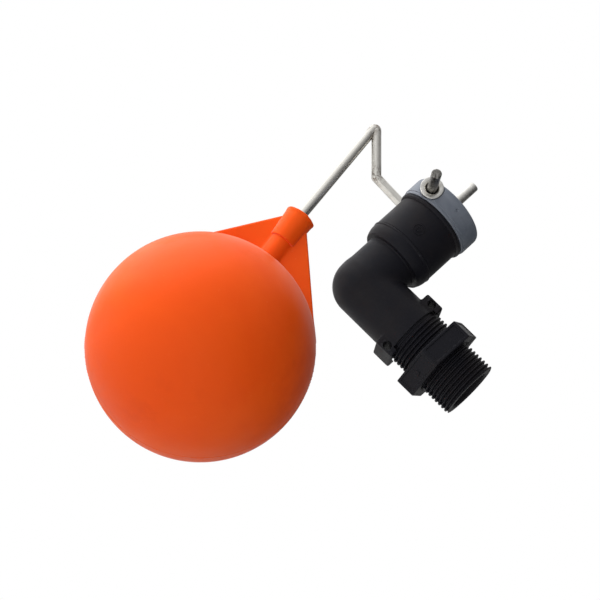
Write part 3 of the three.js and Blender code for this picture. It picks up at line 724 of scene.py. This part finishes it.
def ring_field(p):
    """Grey head ring with bosses for the bushes, spot faces and a fine step near its foot."""
    x, y, z = p.T
    radius = np.hypot(x, y)
    step = RING_BOTTOM + 1.6
    upper = common(common(radius - RING_RADIUS, step - z, 0.25), z - RING_TOP, 2.6)
    lower = common(common(radius - RING_RADIUS + 0.4, RING_BOTTOM - z, 0.5), z - step - 1)
    ring = union(upper, lower)
    boss = common(bar(p, 1, BUSH_FLANGE_RADIUS - 0.2, PIVOT), np.abs(y) - BUSH_FACE, 0.2)
    ring = union(ring, boss, 0.3)
    open_top = union(radius - RING_BORE, (radius - RING_BORE - 0.7 + RING_TOP - z) * 0.7)
    inside = union(open_top, common(radius - SPIGOT_RADIUS - 0.2, z - SPIGOT_TOP - 0.2))
    spot = common(bar(p, 1, BUSH_FLANGE_RADIUS + 0.45, PIVOT), BUSH_FACE - np.abs(y))
    hole = bar(p, 1, BUSH_HOLE_RADIUS, PIVOT)
    dimple_spot = (RING_RADIUS * math.cos(DIMPLE_ANGLE), RING_RADIUS * math.sin(DIMPLE_ANGLE), DIMPLE_HEIGHT)
    dimple = ball(p, dimple_spot, 0.75)
    return without(without(without(ring, inside, 0.3), union(spot, hole), 0.25), dimple, 0.3)


def guide_field(p):
    """Stem guide: a rim, a hub and four arms."""
    rim_bore, hub_radius, arm_half = 14.8, 5.4, 1.2
    x, y, z = p.T
    radius = np.hypot(x, y)
    top = GUIDE_HEIGHT + 2.8
    rim = without(radius - GUIDE_RADIUS, radius - rim_bore)
    hub = radius - hub_radius
    arm = union(np.abs(x), np.abs(y)) - arm_half
    arm = common(arm, between(z, GUIDE_HEIGHT + 0.15, GUIDE_HEIGHT + 2.35), 0.4)
    guide = union(common(union(rim, hub), between(z, GUIDE_HEIGHT + 0.05, top), 0.4), arm, 0.8)
    return without(common(guide, radius - GUIDE_RADIUS), radius - ROD_RADIUS - 0.3, 0.3)


def build_barrel():
    barrel = turned_piece("barrel_shell", barrel_profile(), BLACK, "housing", segments=160)
    stand_in(barrel, "barrel")
    mark_angle, mark_height = -86.6, 37.3
    for name, radius, width in (("barrel_mark_outer", 2.9, 0.7), ("barrel_mark_inner", 1.2, 0.6)):
        points, faces = ring_mark(mark_angle, mark_height, radius, width, 0.36)
        new_piece(name, points, faces, BLACK, "housing")
    ring = solid_piece("head_collar_ring", ring_field, (-23, -23, 51), (23, 23, 66), 0.4, GREY, "housing")
    stand_in(ring, "head_ring")
    low, high = (-18, -18, GUIDE_HEIGHT - 0.6), (18, 18, GUIDE_HEIGHT + 3.4)
    guide = solid_piece("spoked_stem_guide", guide_field, low, high, 0.35, ACETAL, "housing")
    stand_in(guide, "stem_guide")


# ---------------------------------------------------------------- turned pieces inside and out

def build_bushes():
    """Pressed bushes whose flanges roll over at the rim and dip into the bore."""
    bore, tube, flange, inner_end, dip = 3.2, 3.8, 1.2, 6.2, 1.1
    face = BUSH_FACE + 0.05 + flange
    mouth = arc((4.6, face - dip), dip, 90, 180, 6)
    rim = arc((BUSH_FLANGE_RADIUS - 0.5, face - 0.55), 0.5, 0, 90, 5)
    profile = [[bore, inner_end], [tube, inner_end]]
    profile += [[tube, face - flange], [BUSH_FLANGE_RADIUS, face - flange]]
    profile += rim + mouth[:-1] + [[3.5, face - 1.3], [bore, face - 1.8]]
    for name, side in (("near_bush", -1), ("far_bush", 1)):
        matrix = Z_TO_Y if side > 0 else Z_TO_Y @ np.diag([1, -1, -1])
        bush = turned_piece(name.replace("bush", "flanged_bush"), profile, STEEL, "housing", matrix, PIVOT)
        stand_in(bush, name)


def build_plunger():
    """The stem, its cross pin and the piston with its seat disc."""
    hole = 2.8
    foot, tip = DISC_BOTTOM - 4.4, 0.7
    profile = [[0, foot], [ROD_RADIUS - 0.5, foot], [ROD_RADIUS, foot + 0.5]]
    profile += [[ROD_RADIUS, STEM_TOP - 1.0]] + arc((ROD_RADIUS - tip, STEM_TOP - tip), tip, 0, 90, 4)
    profile += [[0, STEM_TOP]]
    stem = turned_piece("plunger_stem", profile, STEEL, "plunger", segments=48)
    stand_in(stem, "piston_stem")
    half, edge = 5.7, 0.3
    profile = [[0, -half], [1.2, -half], [1.5, -half + edge], [1.5, half - edge], [1.2, half], [0, half]]
    centre = (0, 0, PIVOT[2] + LIFT / 2)
    pin = turned_piece("link_pin", profile, STEEL, "plunger", Z_TO_Y, centre, 40)
    stand_in(pin, "cross_pin")
    foot = DISC_BOTTOM + 2.22
    top = foot + 3
    profile = [[hole, foot], [11.2, foot], [11.5, foot + 0.3], [11.5, foot + 1.4], [11.2, foot + 1.8]]
    profile += [[10.4, foot + 2], [6.4, top - 0.1], [6, top], [hole, top]]
    stand_in(turned_piece("piston_plate", profile, ACETAL, "plunger"), "piston")
    low, high = DISC_BOTTOM, DISC_BOTTOM + 2.2
    profile = [[hole, low], [10.1, low], [10.5, low + 0.4], [10.5, high - 0.2], [10.3, high], [hole, high]]
    stand_in(turned_piece("rubber_seat_disc", profile, RUBBER, "plunger"), "seat_disc")


def build_nozzle():
    """The nozzle: a grooved tube, a flange on the barrel's floor and the raised lip of the seat."""
    foot, entry, groove, tube, flange, seat_bore = 24.6, 10.8, 11.1, 12.4, 14.6, 7.5
    profile = [[entry, foot], [tube, foot], [tube, foot + 1.6], [groove, foot + 1.6], [groove, foot + 3.4]]
    profile += [[tube, foot + 3.4], [tube, FLOOR_HEIGHT + 0.05], [flange, FLOOR_HEIGHT + 0.05]]
    profile += [[flange, FLOOR_HEIGHT + 0.8], [flange - 0.2, FLOOR_HEIGHT + 1], [9.5, FLOOR_HEIGHT + 1]]
    profile += arc((8.3, SEAT_LIP - 0.5), 0.5, 20, 160, 6)
    profile += [[seat_bore, SEAT_LIP - 0.9], [seat_bore, FLOOR_HEIGHT - 2]]
    nozzle = turned_piece("nozzle_insert", profile, ACETAL, "housing")
    stand_in(nozzle, "nozzle_seat")


# ---------------------------------------------------------------- arm, finger and float

def onward(start, reach):
    """The X-Z point at a (length, degrees) from another."""
    length, degrees = reach
    angle = math.radians(degrees)
    return (start[0] + length * math.cos(angle), start[1] + length * math.sin(angle))


ARM_FOOT_POINT = onward((PIVOT[0], PIVOT[2]), ARM_FOOT)
ARM_TOP_POINT = onward(ARM_FOOT_POINT, ARM_RISE)
MOUTH_POINT = onward(ARM_TOP_POINT, ARM_DROP)
BALL_CENTRE = onward(MOUTH_POINT, FLOAT_REACH)
ROD_TIP = onward(MOUTH_POINT, (FLOAT_REACH[0] - ROD_END, FLOAT_REACH[1]))


def bent_rod_rings(corners, bends, radius, segments=48, step=3.0):
    """Rings of points along a rod with rounded corners. In a bend tighter than the rod itself the
    inner side folds on the mitre plane and the outer side stays round. Also gives each ring's
    distance along the rod and how near it is to a sharp bend."""
    around = np.linspace(0, 2 * math.pi, segments, endpoint=False)[:, None]
    tangent = unit(corners[1] - corners[0])
    first = unit(np.cross(tangent, (0, 0, 1.0)))
    second = np.cross(tangent, first)
    start = corners[0]
    rings, reach, sharp = [], [], []
    travelled = 0.0

    def offset():
        return radius * (np.cos(around) * first + np.sin(around) * second)

    def add(points, distance):
        rings.append(points)
        reach.append(distance)

    for shift, scale in ((0.0, 0.0), (0.0, 0.80), (0.5, 1.0)):
        add(start + tangent * shift + offset() * scale, shift)
    first_ring = rings[-1]
    for i, bend in enumerate(bends):
        corner = corners[i + 1]
        ahead = unit(corners[i + 2] - corner)
        half = math.acos(float(-tangent @ ahead)) / 2
        inner = unit(ahead - tangent * float(ahead @ tangent))
        skin = offset()
        depth = skin @ inner
        side = skin - depth[:, None] * inner
        setback = np.maximum(depth, bend) / math.tan(half)
        run = np.linalg.norm(corner - start)
        near = travelled + run - bend / math.tan(half)
        ends = corner + skin - tangent * setback[:, None]
        for t in np.linspace(0, 1, max(3, int(run / step)))[1:]:
            add(first_ring + (ends - first_ring) * t, travelled + (near - travelled) * t)
        centre = corner + (inner - tangent / math.tan(half)) * bend
        sweep = math.pi - 2 * half
        lever = np.maximum(bend - depth, 0)[:, None]
        folded = depth > bend
        fixed = corner + side + depth[:, None] * inner - tangent * (depth / math.tan(half))[:, None]
        for t in np.linspace(0, 1, 15)[1:]:
            spoke = tangent * math.sin(sweep * t) - inner * math.cos(sweep * t)
            points = np.where(folded[:, None], fixed, centre + side + lever * spoke)
            add(points, near + (bend + radius / 2) * sweep * t)
        travelled = near + (bend + radius / 2) * sweep
        if bend < radius:
            sharp.append((near + travelled) / 2)
        turn = Matrix.Rotation(sweep, 3, Vector(np.cross(tangent, inner)))
        first, second = np.array(turn @ Vector(first)), np.array(turn @ Vector(second))
        tangent = ahead
        start = corner
        first_ring = rings[-1]
    run = np.linalg.norm(corners[-1] - start)
    last = corners[-1] + offset()
    for t in np.linspace(0, 1, int(run / step))[1:]:
        add(first_ring + (last - first_ring) * t, travelled + run * t)
    add(corners[-1] + offset() * 0, travelled + run)
    from_bend = np.abs(np.array(reach)[:, None] - np.array(sharp)).min(axis=1)
    return rings, reach, np.clip(1 - from_bend / BEND_MARK_REACH, 0, 1)


def unit(vector):
    return np.asarray(vector, float) / np.linalg.norm(vector)


def build_arm():
    """The bent rod: cross shaft, quarter bend, two sharp bends in the arm plane, and a slight bend
    at the mouth of the float's sleeve."""
    corners = [np.array([PIVOT[0], SHAFT_END, PIVOT[2]]), np.array([PIVOT[0], ARM_PLANE, PIVOT[2]])]
    for x, z in (ARM_FOOT_POINT, ARM_TOP_POINT, MOUTH_POINT, ROD_TIP):
        corners.append(np.array([x, ARM_PLANE, z]))
    segments = 48
    rings, reach, worked = bent_rod_rings(corners, BEND_RADII, ROD_RADIUS, segments)
    count = len(rings)
    here = np.arange(count * segments).reshape(count, segments)
    beside = np.roll(here, -1, axis=1)
    faces = np.stack([here[:-1], beside[:-1], beside[1:], here[1:]], axis=-1).reshape(-1, 4)
    piece = new_piece("bent_float_rod", np.concatenate(rings), faces, ROD, "arm")
    around = np.linspace(0, 2 * math.pi, segments, endpoint=False)
    circle = ROD_RADIUS * MM * np.stack([np.cos(around), np.sin(around)], axis=1)
    along = np.concatenate([np.column_stack([circle, np.full(segments, d * MM)]) for d in reach])
    attribute = piece.data.attributes.new("along", "FLOAT_VECTOR", "POINT")
    attribute.data.foreach_set("vector", along.astype(np.float32).ravel())
    attribute = piece.data.attributes.new("worked", "FLOAT", "POINT")
    attribute.data.foreach_set("value", np.repeat(worked, segments).astype(np.float32))
    weld(piece)
    stand_in(piece, "float_arm")


def finger_field(p):
    """Hub with a forked finger, in the finger's own frame: shaft along Y, finger along X."""
    hub_radius, half_width, half_height, half_length = 5, 5.8, 3.6, 6.9
    pin_slot_half, stem_gap_half, screw_radius = 1.9, 3.3, 1.55
    x, y, z = p.T
    hub = common(np.hypot(x, z) - hub_radius, np.abs(y) - half_width, 0.5)
    cheeks = block(p, (half_length, 0, 0), (half_length, half_width, half_height), 1.0)
    slot = common(np.abs(z) - pin_slot_half, 8 - x)
    fork = common(np.abs(y) - stem_gap_half, 5.6 - x)
    shaft = np.hypot(x, z) - ROD_RADIUS - 0.05
    screw = common(np.hypot(x, y) - screw_radius, -z)
    solid = union(hub, cheeks, 1.0)
    return without(without(solid, union(slot, fork), 0.4), union(shaft, screw), 0.2)


def build_finger():
    turn = turn_y(-FINGER_ANGLE)

    def field(p):
        return finger_field((p - PIVOT) @ turn)

    low = PIVOT + np.array([-7, -7, -7])
    high = PIVOT + np.array([16, 7, 15])
    finger = solid_piece("forked_finger", field, low, high, 0.33, ACETAL, "arm")
    stand_in(finger, "arm_finger")


FLOAT_TURN = turn_y(math.radians(270 - FLOAT_REACH[1]))
FLOAT_PLACE = np.array([BALL_CENTRE[0], ARM_PLANE, BALL_CENTRE[1]])


def float_field(p):
    """The ball with its stem, web and moulding seam, worked out about the ball's centre with the
    stem along Z. The web's sides run tangent to the ball from the corners at its top."""
    q = (p - FLOAT_PLACE) @ FLOAT_TURN
    x, y, z = q.T
    sphere = np.linalg.norm(q, axis=1) - BALL_RADIUS
    stem = common(common(np.hypot(x, y) - BALL_STEM_RADIUS, z - SLEEVE_TOP + 0.8), -z)
    corner = math.hypot(WEB_CORNER, WEB_TOP)
    tangent = math.atan2(WEB_CORNER, WEB_TOP) + math.acos(BALL_RADIUS / corner)
    side = np.abs(x) * math.sin(tangent) + z * math.cos(tangent) - BALL_RADIUS
    web = common(common(side, z - WEB_TOP, 0.8), np.abs(y) - WEB_HALF, 1.2)
    web = common(web, BALL_RADIUS * math.cos(tangent) - z)
    seam = np.hypot(sphere, y) - 0.22
    body = union(union(sphere, web, 1.6), stem, 1.2)
    body = union(body, seam, 0.5)
    bore = common(np.hypot(x, y) - ROD_RADIUS - 0.3, ROD_END - 2 - z)
    pocket = common(np.hypot(x, y) - POCKET_RADIUS, between(z, POCKET_LOW, POCKET_HIGH))
    return without(body, union(bore, pocket), 0.2)


def float_sleeve():
    """The flared sleeve on the stem; its rim is a little uneven, as moulded."""
    segments = 96
    low, top = SLEEVE_START, SLEEVE_TOP
    inner, foot, neck, rim, mouth = 6.2, 7.5, 8.5, 8.8, 3.05
    outline = [[inner, low], [foot, low], [neck, top - 2.6], [rim, top - 0.9], [rim, top],
               [mouth, top], [mouth, top - 1.6], [inner, top - 2]]
    profile = np.array(rounded(outline, [0, 0.35, 0.6, 0.3, 0.8, 0.4, 0, 0]))
    angles = np.linspace(0, 2 * math.pi, segments, endpoint=False)[:, None]
    flare = np.clip((profile[None, :, 1] - low) / (top - low), 0, 1) ** 2
    uneven = 0.10 * np.sin(3 * angles + 1) + 0.07 * np.sin(5 * angles) + 0.05 * np.sin(11 * angles + 2)
    outer = profile[None, :, 0] > inner + 0.3
    radii = profile[None, :, 0] + uneven * flare * outer
    heights = profile[None, :, 1] + 0.12 * np.sin(4 * angles + 0.5) * flare * outer
    points, faces = wrapped(radii, heights)
    piece = new_piece("float_sleeve", place(points, FLOAT_TURN, FLOAT_PLACE), faces, ORANGE, "arm")
    weld(piece)
    return piece


def build_float():
    low = FLOAT_PLACE - np.array([76, 64, 64])
    high = FLOAT_PLACE + np.array([64, 64, 96])
    ball_piece = solid_piece("hollow_float", float_field, low, high, 0.8, ORANGE, "arm")
    stand_in(ball_piece, "float_ball")
    sleeve = float_sleeve()
    # Hidden from mirror rays, so the rod and the black nylon show no red image of the float
    for piece in (ball_piece, sleeve):
        piece.visible_glossy = False


def finish_carried_nodes():
    """CAD nodes whose shape is right keep it and take a full material."""
    finishes = {"body_oring": RUBBER, "nozzle_oring": RUBBER, "disc_washer": STEEL, "disc_nut": STEEL,
                "float_insert": BRASS, "finger_screw": STEEL}
    for node, material in finishes.items():
        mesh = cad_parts[node].data
        mesh.materials.clear()
        mesh.materials.append(material)


# ---------------------------------------------------------------- camera, light and floor

VIEW_AZIMUTH = math.radians(-12.04)
VIEW_ELEVATION = math.radians(-16.60)
VIEW_ROLL = math.radians(48.07)
VIEW_DISTANCE = 1.119
VIEW_AIM = Vector((-0.05729, 0.00462, -0.04614))
LENS = 127.5
LIGHT_DISTANCE = 0.9
FLOOR_DROP = 0.25
FLOOR_HALF = 6.0


def view_axes():
    """Right, up and forward of the camera in the row frame."""
    level = math.cos(VIEW_ELEVATION)
    forward = Vector((math.sin(VIEW_AZIMUTH) * level, math.cos(VIEW_AZIMUTH) * level,
                      -math.sin(VIEW_ELEVATION)))
    flat_right = forward.cross(Vector((0, 0, 1))).normalized()
    flat_up = flat_right.cross(forward)
    right = flat_right * math.cos(VIEW_ROLL) + flat_up * math.sin(VIEW_ROLL)
    return right, right.cross(forward), forward


def add_camera():
    right, up, forward = view_axes()
    camera = bpy.data.objects.new("photo_view", bpy.data.cameras.new("photo_view"))
    camera.data.lens = LENS
    camera.data.sensor_width = 36
    camera.data.clip_end = 50
    turn = Matrix((right, up, -forward)).transposed().to_4x4()
    camera.matrix_world = Matrix.Translation(VIEW_AIM - forward * VIEW_DISTANCE) @ turn
    bpy.context.scene.collection.objects.link(camera)
    bpy.context.scene.camera = camera


def add_world():
    """White behind the object. Its light falls off from the camera's upper left to the lower
    right, and the room behind the camera is dark."""
    right, up, forward = view_axes()
    world = bpy.data.worlds.new("studio")
    bpy.context.scene.world = world
    world.use_nodes = True
    tree = world.node_tree
    tree.nodes.clear()
    sky = tree.nodes.new("ShaderNodeTexCoord")

    def fall(direction, low, high):
        """A smooth change from low to high along a direction."""
        dot = tree.nodes.new("ShaderNodeVectorMath")
        dot.operation = "DOT_PRODUCT"
        dot.inputs[1].default_value = direction.normalized()
        tree.links.new(sky.outputs["Generated"], dot.inputs[0])
        ramp = tree.nodes.new("ShaderNodeMapRange")
        ramp.interpolation_type = "SMOOTHSTEP"
        for key, value in (("From Min", -1.0), ("From Max", 1.0), ("To Min", low), ("To Max", high)):
            ramp.inputs[key].default_value = value
        tree.links.new(dot.outputs["Value"], ramp.inputs["Value"])
        return ramp.outputs["Result"]

    strength = tree.nodes.new("ShaderNodeMath")
    strength.operation = "MULTIPLY"
    tree.links.new(fall(up * 0.75 - right * 0.66, 0.10, 1.40), strength.inputs[0])
    tree.links.new(fall(forward * 0.75 - right * 0.6, 0.50, 1.15), strength.inputs[1])
    soft = tree.nodes.new("ShaderNodeBackground")
    tree.links.new(strength.outputs[0], soft.inputs["Strength"])
    white = tree.nodes.new("ShaderNodeBackground")
    path = tree.nodes.new("ShaderNodeLightPath")
    mix = tree.nodes.new("ShaderNodeMixShader")
    output = tree.nodes.new("ShaderNodeOutputWorld")
    for background in (soft, white):
        background.inputs["Color"].default_value = (1, 1, 1, 1)
    tree.links.new(path.outputs["Is Camera Ray"], mix.inputs[0])
    tree.links.new(soft.outputs[0], mix.inputs[1])
    tree.links.new(white.outputs[0], mix.inputs[2])
    tree.links.new(mix.outputs[0], output.inputs[0])


def add_area_light(name, direction, size, watts):
    """A soft box that faces the object's middle from a direction and leaves no mirror image."""
    light = bpy.data.objects.new(name, bpy.data.lights.new(name, "AREA"))
    light.data.shape = "DISK"
    light.data.size = size
    light.data.energy = watts
    direction = direction.normalized()
    light.visible_glossy = False
    light.location = VIEW_AIM + direction * LIGHT_DISTANCE
    light.rotation_euler = direction.to_track_quat("Z", "Y").to_euler()
    bpy.context.scene.collection.objects.link(light)


def add_lights():
    right, up, forward = view_axes()
    add_area_light("left_key", -up * 0.22 - right * 0.95 + forward * 0.10, 1.1, 27.0)
    add_area_light("top_key", up * 0.95 - right * 0.35 + forward * 0.28, 1.2, 10.0)
    add_area_light("fill", up * 0.2 - forward * 0.95, 0.5, 1.4)


def add_floor():
    """A pale floor below the float. It is clear from underneath, so a low view sees past it."""
    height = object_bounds()[0].z - FLOOR_DROP
    mesh = bpy.data.meshes.new("floor")
    corners = [(FLOOR_HALF * x, FLOOR_HALF * y, height) for x, y in ((-1, -1), (1, -1), (1, 1), (-1, 1))]
    mesh.from_pydata(corners, [], [(0, 1, 2, 3)])
    material = bpy.data.materials.new("pale_floor")
    material.use_nodes = True
    tree = material.node_tree
    shader = tree.nodes["Principled BSDF"]
    shader.inputs["Base Color"].default_value = (0.82, 0.82, 0.81, 1)
    shader.inputs["Roughness"].default_value = 0.8
    clear = tree.nodes.new("ShaderNodeBsdfTransparent")
    side = tree.nodes.new("ShaderNodeNewGeometry")
    mix = tree.nodes.new("ShaderNodeMixShader")
    tree.links.new(side.outputs["Backfacing"], mix.inputs[0])
    tree.links.new(shader.outputs[0], mix.inputs[1])
    tree.links.new(clear.outputs[0], mix.inputs[2])
    tree.links.new(mix.outputs[0], tree.nodes["Material Output"].inputs["Surface"])
    mesh.materials.append(material)
    floor = bpy.data.objects.new("floor", mesh)
    bpy.context.scene.collection.objects.link(floor)


build_valve_body()
build_barrel()
build_bushes()
build_nozzle()
build_plunger()
build_arm()
build_finger()
build_float()
finish_carried_nodes()
add_floor()
add_camera()
add_world()
add_lights()
bpy.context.scene.view_settings.view_transform = "Standard"
